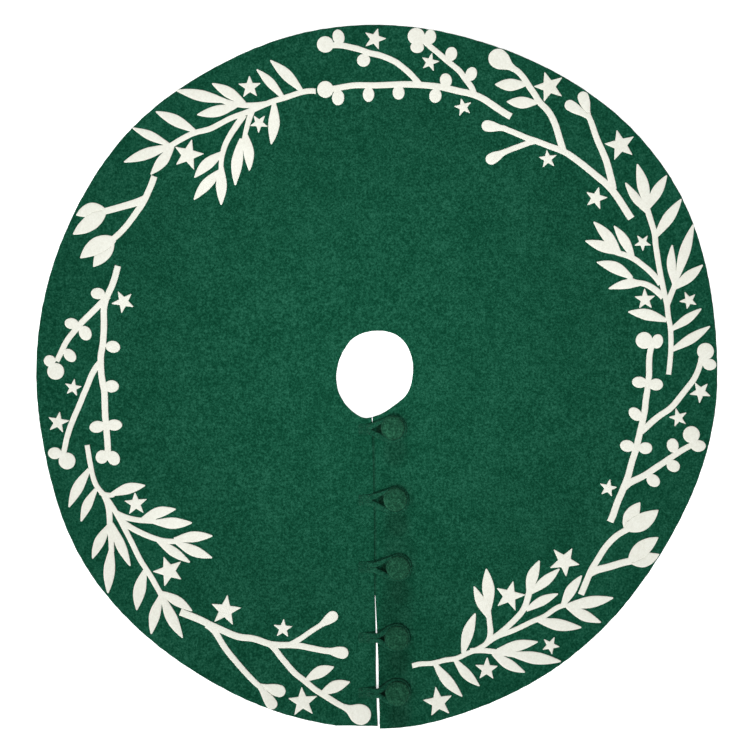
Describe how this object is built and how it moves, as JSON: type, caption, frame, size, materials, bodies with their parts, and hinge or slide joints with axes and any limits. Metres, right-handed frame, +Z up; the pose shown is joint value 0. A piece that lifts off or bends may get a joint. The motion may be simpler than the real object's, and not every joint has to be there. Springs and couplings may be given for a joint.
{
  "type": "tree skirt",
  "caption": "Round felt tree skirt with a trunk hole and a slit closed by felt loops over covered buttons, decorated with cut felt sprigs and stars.",
  "frame": {"origin": "centre of the bounding box, on the underside of the felt (the surface it lies on)", "axes": "+Z up out of the decorated face; the slit runs from the trunk hole towards -Y; +X is to the right when the slit is nearest"},
  "size_m": [1.499, 1.5488, 0.019],
  "materials": {
    "green_felt": "matte pressed wool felt",
    "ivory_felt": "matte pressed wool felt",
    "button_felt": "matte felt cover",
    "loop_felt": "matte rolled felt",
    "button_core": "plain sanded",
    "thread": "matte sewing thread"
  },
  "bodies": {
    "skirt": {"skirt_main": "green_felt", "sprig_leafy_top_left": "ivory_felt", "sprig_leafy_bottom_left": "ivory_felt", "sprig_leafy_bottom_right": "ivory_felt", "sprig_leafy_top_right": "ivory_felt", "sprig_berries_left": "ivory_felt", "sprig_berries_right": "ivory_felt", "sprig_berries_top": "ivory_felt", "sprig_flowers_left": "ivory_felt", "sprig_flowers_right": "ivory_felt", "sprig_flowers_top": "ivory_felt", "sprig_flowers_bottom": "ivory_felt", "petal_left_upper": "ivory_felt", "petal_left_lower": "ivory_felt", "petal_right_upper": "ivory_felt", "petal_right_lower": "ivory_felt", "petal_bottom": "ivory_felt", "petal_top": "ivory_felt", "star_large_1": "ivory_felt", "star_large_2": "ivory_felt", "star_large_3": "ivory_felt", "star_large_4": "ivory_felt", "star_large_5": "ivory_felt", "star_large_6": "ivory_felt", "star_large_8": "ivory_felt", "star_large_9": "ivory_felt", "stars_small_top_left": "ivory_felt", "stars_small_top_right": "ivory_felt", "stars_small_bottom_right": "ivory_felt", "stars_small_bottom_left": "ivory_felt"},
    "flap": {"skirt_flap": "green_felt", "sprig_flowers_bottom_flap": "ivory_felt", "star_large_7": "ivory_felt", "loop_1_tail": "loop_felt", "loop_2_tail": "loop_felt", "loop_3_tail": "loop_felt", "loop_4_tail": "loop_felt", "loop_5_tail": "loop_felt"},
    "loop_1": {"loop_1": "loop_felt"},
    "button_1": {"button_1_cover": "button_felt", "button_1_core": "button_core", "button_1_thread": "thread"},
    "loop_2": {"loop_2": "loop_felt"},
    "button_2": {"button_2_cover": "button_felt", "button_2_core": "button_core", "button_2_thread": "thread"},
    "loop_3": {"loop_3": "loop_felt"},
    "button_3": {"button_3_cover": "button_felt", "button_3_core": "button_core", "button_3_thread": "thread"},
    "loop_4": {"loop_4": "loop_felt"},
    "button_4": {"button_4_cover": "button_felt", "button_4_core": "button_core", "button_4_thread": "thread"},
    "loop_5": {"loop_5": "loop_felt"},
    "button_5": {"button_5_cover": "button_felt", "button_5_core": "button_core", "button_5_thread": "thread"}
  },
  "joints": [
    {"name": "flap_fold", "type": "hinge", "parent": "skirt", "child": "flap", "pos_m": [-0.14738, -0.4, 0.01], "axis": [-0.1772, -0.9842, 0], "range_deg": [0, 160]},
    {"name": "loop_1_bend", "type": "hinge", "parent": "flap", "child": "loop_1", "pos_m": [-0.012, -0.113, 0.0092], "axis": [0, -1, 0], "range_deg": [0, 180]},
    {"name": "button_1_twist", "type": "hinge", "parent": "skirt", "child": "button_1", "pos_m": [0.036, -0.113, 0.003], "axis": [0, 0, 1], "range_deg": [-60, 60]},
    {"name": "loop_2_bend", "type": "hinge", "parent": "flap", "child": "loop_2", "pos_m": [-0.012, -0.27, 0.0092], "axis": [0, -1, 0], "range_deg": [0, 180]},
    {"name": "button_2_twist", "type": "hinge", "parent": "skirt", "child": "button_2", "pos_m": [0.041, -0.27, 0.003], "axis": [0, 0, 1], "range_deg": [-60, 60]},
    {"name": "loop_3_bend", "type": "hinge", "parent": "flap", "child": "loop_3", "pos_m": [-0.012, -0.42, 0.0092], "axis": [0, -1, 0], "range_deg": [0, 180]},
    {"name": "button_3_twist", "type": "hinge", "parent": "skirt", "child": "button_3", "pos_m": [0.047, -0.42, 0.003], "axis": [0, 0, 1], "range_deg": [-60, 60]},
    {"name": "loop_4_bend", "type": "hinge", "parent": "flap", "child": "loop_4", "pos_m": [-0.012, -0.574, 0.0092], "axis": [0, -1, 0], "range_deg": [0, 180]},
    {"name": "button_4_twist", "type": "hinge", "parent": "skirt", "child": "button_4", "pos_m": [0.044, -0.574, 0.003], "axis": [0, 0, 1], "range_deg": [-60, 60]},
    {"name": "loop_5_bend", "type": "hinge", "parent": "flap", "child": "loop_5", "pos_m": [-0.012, -0.695, 0.0092], "axis": [0, -1, 0], "range_deg": [0, 180]},
    {"name": "button_5_twist", "type": "hinge", "parent": "skirt", "child": "button_5", "pos_m": [0.045, -0.695, 0.003], "axis": [0, 0, 1], "range_deg": [-60, 60]}
  ]
}
